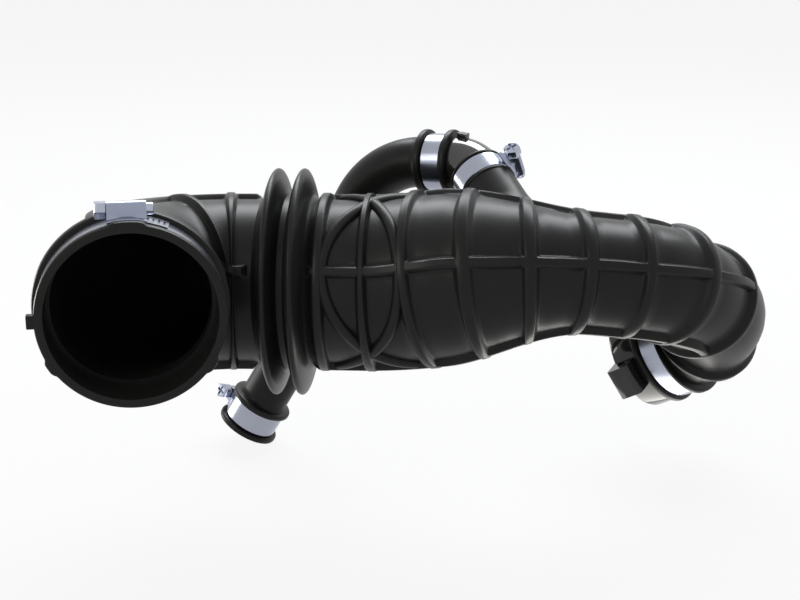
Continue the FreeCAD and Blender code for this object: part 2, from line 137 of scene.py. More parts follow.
# Collars, stub and vent hose
MOUTH_BORE = 36.5
MOUTH_DEPTH = 20.0
MOUTH_SEAT = 39.2
MOUTH_LIP = 40.6
MOUTH_BEAD = 42.4
LIP_LENGTH = 4.0
LIP_SWELLINGS = ((329.0, 3.0, 7.0), (215.0, 3.0, 7.0), (90.0, 8.5, 12.5))
SWELLING_HEIGHT = 1.2
TAB_SIZE = (4.0, 6.0, 3.8)
TAB_OUT = 1.0
MOUTH_BAND = 12.0
BEAD_LENGTH = 5.0
BAND_PLAY = 0.6
OUTLET_SEAT = 26.6
OUTLET_LIP = 29.4
OUTLET_BAND = 9.0
SOCKET_STEP = 0.4
STUB_STATION = 108.5
STUB_LENGTH = 73.0
STUB_LIP = 14.3
STUB_EDGE = 1.5
FLARE = 6.0
FLARE_TOP = 44.0
FLARE_ROOT = 24.0
FLARE_SUNK = 0.8
VENT_SEAT = 13.2
VENT_LIP = 16.2
VENT_BORE = 10.6
VENT_BAND = 9.5
LOWER_BAND = 11.0
VENT_EDGE = 3.0
CUFF_FILLET = ((0.2, 0.8), (1.2, 0.0))
HOSE_SKIN = 12.4
KNEE_SKIN = 12.8
KNEE_BORE = 8.6
SPIGOT = 13.0
PLUG_DEPTH = 12.0
PLUG_LENGTH = 13.0
PLUG_FLANGE = 27.6
PLUG_WALL = 3.0
LUG_LENGTH = 12.0
LUG_WIDTH = 16.0
LUG_HEIGHT = 9.0
LUG_SUNK = 0.6
LUG_ALONG = 7.0
LUG_HOLE = 2.2
LUG_CLOCK = 350.0
STOP_SIZE = (4.0, 3.0, 5.0)
STOP_LEAD = 3.0
STOP_OUT = 1.0

# Clamps
BAND_THICK = 0.8
BAND_EDGE = 0.3
SCREW_LIFT = 4.4
SCREW_RADIUS = 2.6
SCREW_TAIL = 3.0
HEAD_RADIUS = 4.0
HEAD_LENGTH = 5.0
TAIL_GAP = 0.05
TAIL_THICK = 0.6
TAIL_INSET = 0.4
TAIL_HIDDEN = 1.5
SLOT_COUNT = 4
SLOT_PITCH = 2.4
SLOT_GAP = 0.9
SLOT_SLANT = 0.09
SLOT_SHARE = 0.55
SCREW_EDGE = 0.5
RECESS_HALF = 0.6
RECESS_DEPTH = 1.4
RECESS_RIM = 0.9
LARGE_HOUSING = (16.5, 8.0)
SMALL_HOUSING = (13.0, 7.4)
HOUSING_FOOT = ((0.0, 0.0), (1.1, 0.0), (1.5, 0.5))
HOUSING_NECK = ((1.7, 0.9), (2.1, 0.25))
FOOT_TOP = 1.9
ARCH_STEPS = 12
HOUSING_STEPS = 12


def aim(heading, pitch):
    """Unit vector of a heading from +X and a pitch above level."""
    turn = math.radians(heading)
    rise = math.radians(pitch)
    level = math.cos(rise)
    return Vector((level * math.cos(turn), level * math.sin(turn), math.sin(rise)))


class Route:
    """Centreline of straight runs and tangent arcs, read by the distance along it."""

    def __init__(self, start, direction):
        self.end = start.copy()
        self.direction = direction
        self.length = 0.0
        self.pieces = []

    def run(self, length):
        self.pieces.append((self.length, self.end, self.direction, None, 0.0))
        self.end = self.end + self.direction * length
        self.length += length

    def bend(self, direction, radius):
        angle = self.direction.angle(direction)
        inward = (direction - self.direction * self.direction.dot(direction)).normalized()
        self.pieces.append((self.length, self.end, self.direction, inward, radius))
        across = inward * (radius * (1 - math.cos(angle)))
        self.end = self.end + across + self.direction * (radius * math.sin(angle))
        self.direction = direction
        self.length += angle * radius

    def at(self, station):
        """Point and tangent at a distance along the route."""
        piece = self.pieces[0]
        for candidate in self.pieces:
            if candidate[0] <= station:
                piece = candidate
        begin, point, direction, inward, radius = piece
        along = station - begin
        if inward is None:
            return point + direction * along, direction
        angle = along / radius
        across = inward * (radius * (1 - math.cos(angle)))
        place = point + across + direction * (radius * math.sin(angle))
        return place, direction * math.cos(angle) + inward * math.sin(angle)

    def frame(self, station):
        """Matrix with Z along the route, X level and Y upwards."""
        point, tangent = self.at(station)
        side = UP.cross(tangent).normalized()
        turn = Matrix((side, tangent.cross(side), tangent)).transposed()
        return Matrix.Translation(point) @ turn.to_4x4()


duct = Route(Vector((0, 0, 0)), aim(90.0, 0.0))
duct.run(23.3)
duct.bend(aim(90.0, -8.5), 52.0)
duct.run(1.0)
duct.bend(aim(-13.8, 0.7), 44.0)
barrel_start = duct.length
duct.run(53.0)
duct.bend(aim(-24.2, 10.9), 120.0)
duct.run(19.1)
duct.bend(aim(4.5, -9.3), 100.0)
duct.run(15.9)
duct.bend(aim(45.0, -30.4), 60.0)
duct.run(21.1)
duct.bend(aim(137.9, -30.1), 34.0)
duct.run(13.5)

fold_middle = barrel_start + FOLD_LEAD
folds = (fold_middle - FOLD_PITCH / 2, fold_middle + FOLD_PITCH / 2)
folds_start = folds[0] - FOLD_BASE
folds_end = folds[1] + FOLD_BASE
elbow_rings = [folds_start - lead for lead in ELBOW_RING_LEADS]
barrel_rings = []
ring_station = folds_end
for gap in BARREL_RING_GAPS:
    ring_station += gap
    barrel_rings.append(ring_station)
all_rings = elbow_rings + barrel_rings
seam_end = barrel_rings[8] + SEAM_OVERRUN

stub_root = duct.at(folds_end + STUB_STATION)[0]
stub = Route(stub_root, aim(108.9, 26.7))
stub.run(STUB_LENGTH)

knee = Route(stub.at(STUB_LENGTH - SPIGOT)[0], stub.direction)
knee.run(SPIGOT)
knee.bend(aim(146.4, -4.0), 17.0)
knee_end = knee.end.copy()
knee.run(SPIGOT)

vent = Route(knee_end, aim(146.4, -4.0))
vent.run(17.5)
vent.bend(aim(160.6, -67.2), 42.0)
vent.run(72.5)
vent.bend(aim(166.9, -59.7), 60.0)
vent.run(55.8)


def unit(value):
    """Value held between 0 and 1."""
    return min(max(value, 0.0), 1.0)


def hump(distance, tip, foot):
    """Rounded rib profile: 1 within tip of its middle and 0 beyond foot."""
    share = unit((abs(distance) - tip) / (foot - tip))
    return 0.5 + 0.5 * math.cos(math.pi * share)


def skin_at(station):
    """Outer radius between ribs, easing from the barrel to the tail."""
    share = unit((station - folds_end - TAPER_START) / TAPER_LENGTH)
    ease = share * share * (3 - 2 * share)
    return BARREL_SIZE + (TAIL_SKIN - BARREL_SIZE) * ease


def ring_lift(station):
    return RING_HEIGHT * max(hump(station - ring, RING_TIP, RING_FOOT) for ring in all_rings)


def seam_lift(station, angle, radius):
    """Long ribs, rounded off on each side of the bellows and past the ninth barrel ring."""
    off = (angle - SEAM_ANGLE + 45.0) % 90.0 - 45.0
    around = math.radians(off) * radius
    clear = max(folds_start - SEAM_GAP - station, station - folds_end + SEAM_LAP)
    fade = unit(clear / SEAM_FADE)
    stop = unit((seam_end - station) / SEAM_STOP)
    return SEAM_HEIGHT * hump(around, SEAM_TIP, SEAM_FOOT) * math.sqrt(fade * stop)


def fold_radius(station, foot):
    """Radius over the bellows, for folds of half width foot, or None away from it."""
    outside = max(folds[0] - FOLD_FOOT - station, station - folds[1] - FOLD_FOOT, 0.0)
    if outside >= FOLD_EASE:
        return None
    nearest = min(abs(station - middle) for middle in folds)
    rise = max(1.0 - (nearest / foot) ** FOLD_SHAPE, 0.0)
    root = FOLD_ROOT - (FOLD_ROOT - BARREL_SIZE) * outside / FOLD_EASE
    return root + (FOLD_SIZE - FOLD_ROOT) * rise


def duct_radius(station, angle):
    skin = skin_at(station)
    bellows = fold_radius(station, FOLD_FOOT)
    ribs = max(ring_lift(station), seam_lift(station, angle, skin))
    if bellows is not None:
        return max(bellows, skin + ribs)
    return skin + ribs


# Columns of the duct's skin in degrees, closer on the long ribs
on_rib = [0.0, 1.0, 1.9, 2.8, 3.6, 4.4]
between_ribs = [5.4 + 1.65 * step for step in range(25)]
half_sector = on_rib + between_ribs
sector = half_sector[:-1] + [90.0 - off for off in reversed(half_sector[1:])]
DUCT_COLUMNS = [SEAM_ANGLE + 90.0 * quarter + off for quarter in range(4) for off in sector]


def even(count):
    return [360.0 * number / count for number in range(count)]


def finished(name, mesh, slot, *nodes, sharp=40.0):
    """Piece at the origin from a mesh in millimetres, standing in for the nodes that it hides."""
    bmesh.ops.scale(mesh, vec=(MM, MM, MM), verts=mesh.verts)
    data = bpy.data.meshes.new(name)
    mesh.to_mesh(data)
    mesh.free()
    data.shade_smooth()
    data.set_sharp_from_angle(angle=math.radians(sharp))
    piece = bpy.data.objects.new(name, data)
    bpy.context.scene.collection.objects.link(piece)
    data.materials.append(finishes[slot])
    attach(piece, "root")
    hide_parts(*nodes)
    return piece


def rolled(mesh, rows, columns):
    """Flat grid rolled into a closed skin. A row is a matrix and a radius, or one for each column.

    A column's entry may also be a radius and a distance along the matrix's Z.
    """
    around = len(columns)
    made = bmesh.ops.create_grid(mesh, x_segments=len(rows) - 1, y_segments=around, size=1.0)
    spokes = [(math.cos(math.radians(a)), math.sin(math.radians(a))) for a in columns]
    for vert in made["verts"]:
        place, radius = rows[round((vert.co.x + 1) / 2 * (len(rows) - 1))]
        column = round((vert.co.y + 1) / 2 * around) % around
        corner = radius[column] if isinstance(radius, list) else radius
        size, along = corner if isinstance(corner, tuple) else (corner, 0.0)
        vert.co = place @ Vector((size * spokes[column][0], size * spokes[column][1], along))
    bmesh.ops.remove_doubles(mesh, verts=made["verts"], dist=1e-4)
    bmesh.ops.recalc_face_normals(mesh, faces=mesh.faces)


def closed_tube(mesh, route, profile, columns):
    """Tube along a route through (station, radius) corners that come back to the first one."""
    rows = [(route.frame(station), radius) for station, radius in profile]
    rolled(mesh, rows + rows[:1], columns)


def spaced(start, end, step):
    count = max(1, math.ceil((end - start) / step))
    return [start + (end - start) * number / count for number in range(count + 1)]


def rim(start, radius, end, edge):
    """Corners of a raised bead from start to end with rounded edges."""
    cut = ROUND_SHARE * edge
    return [
        (start, radius - edge),
        (start + cut, radius - cut),
        (start + edge, radius),
        (end - edge, radius),
        (end - cut, radius - cut),
        (end, radius - edge),
    ]


def pulled_verts(geom):
    """Vertices among what an extrusion made."""
    return [item for item in geom if isinstance(item, bmesh.types.BMVert)]


def joined(mesh, *others):
    """Adds other meshes to the first one."""
    for other in others:
        data = bpy.data.meshes.new("joined")
        other.to_mesh(data)
        other.free()
        mesh.from_mesh(data)
        bpy.data.meshes.remove(data)


def block(size, centre, place, edge):
    """Box with rounded edges, placed by its centre in a local frame."""
    mesh = bmesh.new()
    bmesh.ops.create_cube(mesh, size=1.0)
    bmesh.ops.scale(mesh, vec=size, verts=mesh.verts)
    bmesh.ops.bevel(
        mesh, geom=mesh.edges[:], offset=edge, segments=3, profile=0.5, affect="EDGES", material=-1
    )
    bmesh.ops.transform(mesh, matrix=place @ Matrix.Translation(centre), verts=mesh.verts)
    return mesh


# Finishes


class Value:
    """Shader socket that Python sums can use. Each sum adds a Math node."""

    def __init__(self, paint, socket):
        self.paint = paint
        self.socket = socket

    def sum(self, operation, first, second):
        settings = {"operation": operation}
        return self.paint.node("ShaderNodeMath", settings, {0: first, 1: second})["Value"]

    def __add__(self, other):
        return self.sum("ADD", self, other)

    def __mul__(self, other):
        return self.sum("MULTIPLY", self, other)

    __radd__ = __add__
    __rmul__ = __mul__


class Node:
    """Node whose outputs are read by name as values."""

    def __init__(self, paint, node):
        self.paint = paint
        self.node = node

    def __getitem__(self, name):
        return Value(self.paint, self.node.outputs[name])


class Paint:
    """Nodes that make up a material or the world."""

    def __init__(self, owner):
        owner.use_nodes = True
        self.owner = owner
        self.tree = owner.node_tree
        self.tree.nodes.clear()

    def node(self, kind, settings, sockets):
        node = self.tree.nodes.new(kind)
        for name, value in settings.items():
            setattr(node, name, value)
        for name, value in sockets.items():
            if isinstance(value, Value):
                self.tree.links.new(value.socket, node.inputs[name])
            else:
                node.inputs[name].default_value = value
        return Node(self, node)

    def mixed(self, share, first, second):
        settings = {"data_type": "RGBA"}
        mix = self.node("ShaderNodeMix", settings, {0: share, 6: first, 7: second})
        return Value(self, mix.node.outputs[2])

    def shade(self, sockets):
        shader = self.node("ShaderNodeBsdfPrincipled", {}, sockets)
        self.node("ShaderNodeOutputMaterial", {}, {"Surface": shader["BSDF"]})
        return self.owner

    def noise(self, scale, detail=3.0):
        where = self.node("ShaderNodeTexCoord", {}, {})["Object"]
        sockets = {"Vector": where, "Scale": scale, "Detail": detail}
        return self.node("ShaderNodeTexNoise", {}, sockets)["Fac"]

    def bump(self, height, strength, distance):
        sockets = {"Height": height, "Strength": strength, "Distance": distance}
        return self.node("ShaderNodeBump", {}, sockets)["Normal"]


def grey(level, warmth=0.0):
    return (level * (1 + warmth), level, level * (1 - warmth), 1.0)


def moulded_rubber(name, dark, light, roughness):
    paint = Paint(bpy.data.materials.new(name))
    cloud = paint.noise(22.0)
    grain = paint.noise(900.0, 2.0)
    return paint.shade({
        "Base Color": paint.mixed(cloud, grey(dark, 0.02), grey(light, 0.03)),
        "Roughness": roughness + 0.10 * cloud,
        "Specular IOR Level": 0.14,
        "Normal": paint.bump(grain, 0.12, 0.0002),
    })


def gloss_plastic(name, level, shine):
    paint = Paint(bpy.data.materials.new(name))
    cloud = paint.noise(14.0)
    return paint.shade({
        "Base Color": paint.mixed(cloud, grey(level, 0.03), grey(level * 1.3, 0.04)),
        "Roughness": 0.07 + 0.05 * cloud,
        "Specular IOR Level": shine,
        "Coat Weight": 0.5 * shine,
        "Coat Roughness": 0.04,
    })


def bright_steel(name, colour, roughness):
    paint = Paint(bpy.data.materials.new(name))
    cloud = paint.noise(60.0)
    scratch = paint.noise(1500.0, 2.0)
    darker = tuple(0.82 * level for level in colour)
    return paint.shade({
        "Base Color": paint.mixed(cloud, (*darker, 1.0), (*colour, 1.0)),
        "Metallic": 1.0,
        "Roughness": roughness + 0.08 * cloud,
        "Normal": paint.bump(scratch, 0.05, 0.0001),
    })


finishes = {
    "hose_rubber": moulded_rubber("hose_rubber", 0.010, 0.014, 0.30),
    "vent_rubber": moulded_rubber("vent_rubber", 0.009, 0.013, 0.32),
    "elbow_plastic": gloss_plastic("elbow_plastic", 0.018, 0.6),
    "connector_plastic": gloss_plastic("connector_plastic", 0.012, 0.3),
    "clamp_band": bright_steel("clamp_band", (0.34, 0.36, 0.43), 0.18),
    "clamp_housing": bright_steel("clamp_housing", (0.30, 0.33, 0.42), 0.16),
    "clamp_screw": bright_steel("clamp_screw", (0.42, 0.45, 0.54), 0.16),
}
for row in frame["record"]["subparts"]:
    node = frame["nodes"][row["node"]]
    node.data.materials.clear()
    node.data.materials.append(finishes[row["material_slot"]])


# Intake hose


def hose_stations(start, end):
    """Stations closer on the rings, where the long ribs fade and on the bellows."""
    marks = [start, end]
    for ring in all_rings:
        marks += [ring] + [ring + side * off * RING_FOOT for side in (-1, 1) for off in RING_SLOPE]
    marks += spaced(folds_start - FADE_LEAD, folds_start - FADE_STEP, FADE_STEP)
    ease = FOLD_FOOT + FOLD_EASE
    marks += spaced(folds[0] - ease, folds[1] + ease, FOLD_STEP)
    marks = sorted(mark for mark in marks if start <= mark <= end)
    stations = [marks[0]]
    for mark in marks[1:]:
        if mark - stations[-1] > LEAST_STEP:
            stations += spaced(stations[-1], mark, SKIN_STEP)[1:]
    return stations


def mouth_lip(angle):
    """Lip radius with a small swelling low on each side and a wider one under the clamp housing."""
    swell = 0.0
    for middle, tip, foot in LIP_SWELLINGS:
        swell += hump((angle - middle + 180.0) % 360.0 - 180.0, tip, foot)
    return MOUTH_LIP + SWELLING_HEIGHT * swell


def lip_row(station, inset):
    return duct.frame(station), [mouth_lip(angle) - inset for angle in DUCT_COLUMNS]


groove_end = LIP_LENGTH + MOUTH_BAND + 2 * BAND_PLAY
collar_end = groove_end + BEAD_LENGTH
outlet_lip_start = duct.length - VENT_EDGE
outlet_groove_start = outlet_lip_start - OUTLET_BAND - 2 * BAND_PLAY
outlet_bead_start = outlet_groove_start - VENT_EDGE


def along_duct(profile):
    return [(duct.frame(station), radius) for station, radius in profile]


# Inlet: rounded mouth, lip, band groove and bead
mouth_cut = ROUND_SHARE * MOUTH_EDGE
mouth_rounding = [(MOUTH_EDGE, 0.0), (mouth_cut, mouth_cut), (0.0, MOUTH_EDGE)]
rows = along_duct([(back, MOUTH_BORE + inset) for back, inset in mouth_rounding])
rows += [lip_row(back, inset) for back, inset in reversed(mouth_rounding)]
rows += [lip_row(LIP_LENGTH - back, inset) for back, inset in LIP_ROUNDING]
rows += along_duct([(LIP_LENGTH, MOUTH_SEAT), (groove_end, MOUTH_SEAT)])
rows += along_duct(rim(groove_end, MOUTH_BEAD, collar_end, BEAD_EDGE))
for station in hose_stations(collar_end + SKIN_LEAD, outlet_bead_start - SKIN_TRAIL):
    rows.append((duct.frame(station), [duct_radius(station, angle) for angle in DUCT_COLUMNS]))

# Outlet: bead, band groove, lip and the socket of the connector
rows += along_duct(rim(outlet_bead_start, OUTLET_LIP, outlet_groove_start, CUFF_EDGE))
rows += along_duct([(outlet_groove_start, OUTLET_SEAT), (outlet_lip_start, OUTLET_SEAT)])
rows += along_duct(rim(outlet_lip_start, OUTLET_LIP, duct.length, CUFF_EDGE))
socket_bore = TAIL_SIZE - WALL + SOCKET_STEP
socket_end = duct.length - PLUG_DEPTH - CLEARANCE
rows += along_duct([(duct.length, socket_bore), (socket_end, socket_bore)])

# Back along the inside to the mouth
for station in reversed(spaced(MOUTH_DEPTH, socket_end, INSIDE_STEP)):
    outer = fold_radius(station, FOLD_FOOT * FOLD_INSIDE) or skin_at(station)
    rows.append((duct.frame(station), outer - WALL))
rows += along_duct([(MOUTH_DEPTH, MOUTH_BORE)])
hose = bmesh.new()
rolled(hose, rows + rows[:1], DUCT_COLUMNS)

# Vent stub, flared where it leaves the duct
stub_lip_start = STUB_LENGTH - STUB_EDGE
stub_groove_start = stub_lip_start - VENT_BAND - 2 * BAND_PLAY
stub_bead_start = stub_groove_start - STUB_EDGE
stub_columns = even(64)
stub_middle = folds_end + STUB_STATION
near_stub = spaced(stub_middle - NEAR_REACH, stub_middle + NEAR_REACH, NEAR_STEP)
near_duct = [(duct.at(station)[0], skin_at(station)) for station in near_stub]


def foot_of(angle):
    """Distance along the stub at which its flared foot meets the duct's skin."""
    turn = math.radians(angle)
    spoke = Vector((math.cos(turn), math.sin(turn), 0.0)) * (VENT_SEAT + FLARE)
    for along in reversed(spaced(0.0, FLARE_TOP, FOOT_STEP)):
        point = stub.frame(along) @ spoke
        distance, skin = min(((middle - point).length, skin) for middle, skin in near_duct)
        if distance < skin - FLARE_SUNK:
            return along
    return 0.0


feet = [foot_of(angle) for angle in stub_columns]
stub_rows = [(stub.frame(FLARE_ROOT), VENT_BORE)]
for share in spaced(0.0, 1.0, FLARE_STEP):
    size = VENT_SEAT + FLARE * (1 - share) ** 2
    corners = [(size, foot * (1 - share) + FLARE_TOP * share) for foot in feet]
    stub_rows.append((stub.frame(0.0), corners))
stub_profile = rim(stub_bead_start, STUB_LIP, stub_groove_start, STUB_RIM_EDGE)
stub_profile += [(stub_groove_start, VENT_SEAT), (stub_lip_start, VENT_SEAT)]
stub_profile += rim(stub_lip_start, STUB_LIP, STUB_LENGTH, STUB_RIM_EDGE)
stub_profile += [(STUB_LENGTH, VENT_BORE)]
stub_rows += [(stub.frame(station), radius) for station, radius in stub_profile]
branch = bmesh.new()
rolled(branch, stub_rows + stub_rows[:1], stub_columns)


# Half-round section of a star rib, sunk a little into the duct's skin
star_columns = even(16)
star_section = []
for column in star_columns:
    up = math.cos(math.radians(column))
    out = math.sin(math.radians(column))
    height = STAR_HEIGHT if up > 0 else STAR_DEPTH
    star_section.append(1.0 / math.hypot(up / height, out / STAR_WIDTH))


def star_rib(side):
    """Rib that winds round the duct and crosses its twin above and below the front long rib."""
    middle = (barrel_rings[0] + barrel_rings[2]) / 2
    reach = side * ((barrel_rings[2] - barrel_rings[0]) / 2 - STAR_INSET)
    level = math.cos(math.radians(STAR_CROSSING))
    points = []
    for off in even(STAR_STEPS):
        share = (abs(math.cos(math.radians(off))) - level) / (1 - level)
        station = middle + reach * share
        spoke = Matrix.Rotation(math.radians(SEAM_ANGLE + off), 4, "Z")
        points.append(duct.frame(station) @ spoke @ Matrix.Translation((skin_at(station), 0, 0)))
    rows = []
    for number, place in enumerate(points):
        outward = place.col[0].xyz
        ahead = points[(number + 1) % STAR_STEPS].translation - points[number - 1].translation
        along = (ahead - outward * ahead.dot(outward)).normalized()
        turn = Matrix((outward, along.cross(outward), along)).transposed().to_4x4()
        rows.append((Matrix.Translation(place.translation) @ turn, star_section))
    mesh = bmesh.new()
    rolled(mesh, rows + rows[:1], star_columns)
    return mesh


tab_centre = (MOUTH_LIP + TAB_OUT, 0.0, LIP_LENGTH / 2)
tab = block(TAB_SIZE, tab_centre, duct.frame(0.0), TAB_EDGE)
joined(hose, branch, tab, star_rib(-1), star_rib(1))
finished("ribbed_hose", hose, "hose_rubber", "intake_hose")

# Vent elbow, with a small stop lug at the hose end
bend_start = SPIGOT + CLEARANCE
bend_end = knee.length - SPIGOT - CLEARANCE
knee_spigot = VENT_BORE - CLEARANCE
skin_stations = spaced(bend_start + KNEE_EDGE, bend_end - KNEE_EDGE, KNEE_STEP)
bore_stations = spaced(0.0, knee.length, KNEE_BORE_STEP)[1:-1]
knee_profile = [(0.0, KNEE_BORE), (0.0, knee_spigot), (bend_start, knee_spigot)]
knee_profile += [(bend_start, KNEE_SKIN - KNEE_INSET)]
knee_profile += [(station, KNEE_SKIN) for station in skin_stations]
knee_profile += [(bend_end, KNEE_SKIN - KNEE_INSET), (bend_end, knee_spigot)]
knee_profile += [(knee.length, knee_spigot), (knee.length, KNEE_BORE)]
knee_profile += [(station, KNEE_BORE) for station in reversed(bore_stations)]
elbow = bmesh.new()
closed_tube(elbow, knee, knee_profile, even(80))
stop_centre = (0.0, KNEE_SKIN + STOP_OUT, 0.0)
stop = block(STOP_SIZE, stop_centre, knee.frame(bend_end - STOP_LEAD), STOP_EDGE)
joined(elbow, stop)
finished("gloss_elbow", elbow, "elbow_plastic", "vent_elbow")

# Vent hose


def cuff_profile(band):
    """Corners from the end of the hose over its lip, band groove and bead down to the skin."""
    inner = VENT_EDGE + band + 2 * BAND_PLAY
    foot = inner + VENT_EDGE
    profile = rim(0.0, VENT_LIP, VENT_EDGE, CUFF_EDGE)
    profile += [(VENT_EDGE, VENT_SEAT), (inner, VENT_SEAT)]
    profile += rim(inner, VENT_LIP, foot, CUFF_EDGE)
    return profile + [(foot + along, HOSE_SKIN + out) for along, out in CUFF_FILLET]


upper_cuff = cuff_profile(VENT_BAND)
lower_cuff = [(vent.length - back, radius) for back, radius in reversed(cuff_profile(LOWER_BAND))]
skin_stations = spaced(upper_cuff[-1][0], lower_cuff[0][0], VENT_STEP)[1:-1]
bore_stations = spaced(0.0, vent.length, VENT_BORE_STEP)[1:]
vent_profile = [(0.0, VENT_BORE)] + upper_cuff
vent_profile += [(station, HOSE_SKIN) for station in skin_stations]
vent_profile += lower_cuff
vent_profile += [(station, VENT_BORE) for station in reversed(bore_stations)]
pipe = bmesh.new()
closed_tube(pipe, vent, vent_profile, even(72))
finished("vent_pipe", pipe, "vent_rubber", "vent_hose")

# Outlet connector with its drilled lug
outlet_end = duct.frame(duct.length)
spigot = socket_bore - CLEARANCE
way = spigot - PLUG_WALL
connector_profile = [
    (-PLUG_DEPTH, way),
    (-PLUG_DEPTH, spigot - SPIGOT_INSET),
    (SPIGOT_LEAD - PLUG_DEPTH, spigot),
    (CLEARANCE, spigot),
    (CLEARANCE, PLUG_FLANGE - FLANGE_EDGE),
    (CLEARANCE + FLANGE_EDGE, PLUG_FLANGE),
]
connector_profile += [(PLUG_LENGTH - back, PLUG_FLANGE - inset) for back, inset in FLANGE_ROUNDING]
connector_profile += [(PLUG_LENGTH, way + WAY_EDGE), (PLUG_LENGTH - WAY_EDGE, way)]
straight = Route(outlet_end.translation, duct.direction)
straight.run(PLUG_LENGTH)
connector = bmesh.new()
closed_tube(connector, straight, connector_profile, even(128))


def drilled_lug(length, height, width, hole):
    """Block with a hole through its width: a round and a square loop, bridged and pulled out."""
    mesh = bmesh.new()
    inner = bmesh.ops.create_circle(mesh, segments=32, radius=hole)["verts"]
    outer = bmesh.ops.create_circle(mesh, segments=32, radius=1.0)["verts"]
    for vert in outer:
        reach = max(abs(vert.co.x) / (length / 2), abs(vert.co.y) / (height / 2))
        vert.co = vert.co / reach
    faces = bmesh.ops.bridge_loops(mesh, edges=mesh.edges[:])["faces"]
    pulled = bmesh.ops.extrude_face_region(mesh, geom=faces)["geom"]
    bmesh.ops.translate(mesh, vec=(0, 0, width), verts=pulled_verts(pulled))
    bmesh.ops.translate(mesh, vec=(0, 0, -width / 2), verts=mesh.verts)
    bmesh.ops.recalc_face_normals(mesh, faces=mesh.faces)
    return mesh


lug_low = spigot + LUG_SUNK
lug_high = PLUG_FLANGE + LUG_HEIGHT
lug = drilled_lug(LUG_LENGTH, lug_high - lug_low, LUG_WIDTH, LUG_HOLE)
upright = Matrix(((0, 1, 0), (0, 0, 1), (1, 0, 0))).to_4x4()
lug_place = outlet_end @ Matrix.Rotation(math.radians(LUG_CLOCK), 4, "Z")
lug_centre = Matrix.Translation(((lug_low + lug_high) / 2, 0.0, CLEARANCE + LUG_ALONG))
bmesh.ops.transform(lug, matrix=lug_place @ lug_centre @ upright, verts=lug.verts)
joined(connector, lug)
finished("gloss_connector", connector, "connector_plastic", "outlet_connector", sharp=30.0)


# Clamps


def clamp_band(seat, width, place):
    """Steel strip with softened edges round the hose."""
    low = seat + CLEARANCE
    high = low + BAND_THICK
    half = width / 2
    profile = [
        (-half, low),
        (-half, high - BAND_EDGE),
        (-half + BAND_EDGE, high),
        (half - BAND_EDGE, high),
        (half, high - BAND_EDGE),
        (half, low),
    ]
    mesh = bmesh.new()
    rows = [(place @ Matrix.Translation((0, 0, along)), radius) for along, radius in profile]
    rolled(mesh, rows + rows[:1], even(120))
    return mesh


def band_tail(outside, width, length, place):
    """Slotted loose end of the strip, lapped over the band beyond the housing."""
    columns = 2 * SLOT_COUNT + 1
    start = length / 2 - TAIL_HIDDEN
    half = width / 2 - TAIL_INSET
    slot_half = SLOT_SHARE * half
    across = (-half, -slot_half, slot_half, half)
    top = outside + TAIL_GAP + TAIL_THICK
    mesh = bmesh.new()
    bmesh.ops.create_grid(mesh, x_segments=columns, y_segments=3, size=1.0)
    open_faces = []
    for face in mesh.faces:
        middle = face.calc_center_median()
        column = int((middle.x + 1) / 2 * columns)
        if column % 2 == 1 and abs(middle.y) < 0.1:
            open_faces.append(face)
    bmesh.ops.delete(mesh, geom=open_faces, context="FACES_ONLY")
    for vert in mesh.verts:
        column = round((vert.co.x + 1) / 2 * columns)
        side = across[round((vert.co.y + 1) / 2 * 3)]
        along = start + (column // 2) * SLOT_PITCH + (column % 2) * (SLOT_PITCH - SLOT_GAP)
        angle = (along + SLOT_SLANT * side) / top
        vert.co = (top * math.cos(angle), top * math.sin(angle), side)
    made = bmesh.ops.extrude_face_region(mesh, geom=mesh.faces[:])["geom"]
    inward = 1.0 - TAIL_THICK / top
    bmesh.ops.scale(mesh, vec=(inward, inward, 1.0), verts=pulled_verts(made))
    bmesh.ops.recalc_face_normals(mesh, faces=mesh.faces)
    bmesh.ops.transform(mesh, matrix=place, verts=mesh.verts)
    return mesh


def clamp_housing(outside, length, height, width, place):
    """Pressed shell: a tunnel over the screw with feet that follow the band."""
    base = outside + CLEARANCE
    half = width / 2
    lift = outside + SCREW_LIFT
    crown = outside + height - lift
    near_side = [(base + rise, half - inset) for rise, inset in HOUSING_FOOT]
    near_side += [(base + rise, crown + out) for rise, out in HOUSING_NECK]
    far_side = [(x, -z) for x, z in reversed(near_side)]
    arch = []
    for step in range(ARCH_STEPS + 1):
        angle = math.pi * step / ARCH_STEPS
        arch.append((lift + crown * math.sin(angle), crown * math.cos(angle)))
    outline = near_side + arch + far_side
    mesh = bmesh.new()
    corners = [mesh.verts.new((x, -length / 2, z)) for x, z in outline]
    pulled = [mesh.faces.new(corners)]
    for _ in range(HOUSING_STEPS):
        made = bmesh.ops.extrude_face_region(mesh, geom=pulled)["geom"]
        bmesh.ops.translate(mesh, vec=(0, length / HOUSING_STEPS, 0), verts=pulled_verts(made))
        pulled = [item for item in made if isinstance(item, bmesh.types.BMFace)]
    sections = [face for face in mesh.faces if len(face.verts) > 4]
    inside = [face for face in sections if abs(face.calc_center_median().y) < length / 2 - 0.1]
    bmesh.ops.delete(mesh, geom=inside, context="FACES_ONLY")
    for vert in mesh.verts:
        if vert.co.x < base + FOOT_TOP:
            vert.co.x -= base - math.sqrt(base ** 2 - vert.co.y ** 2)
    bmesh.ops.recalc_face_normals(mesh, faces=mesh.faces)
    bmesh.ops.transform(mesh, matrix=place, verts=mesh.verts)
    return mesh


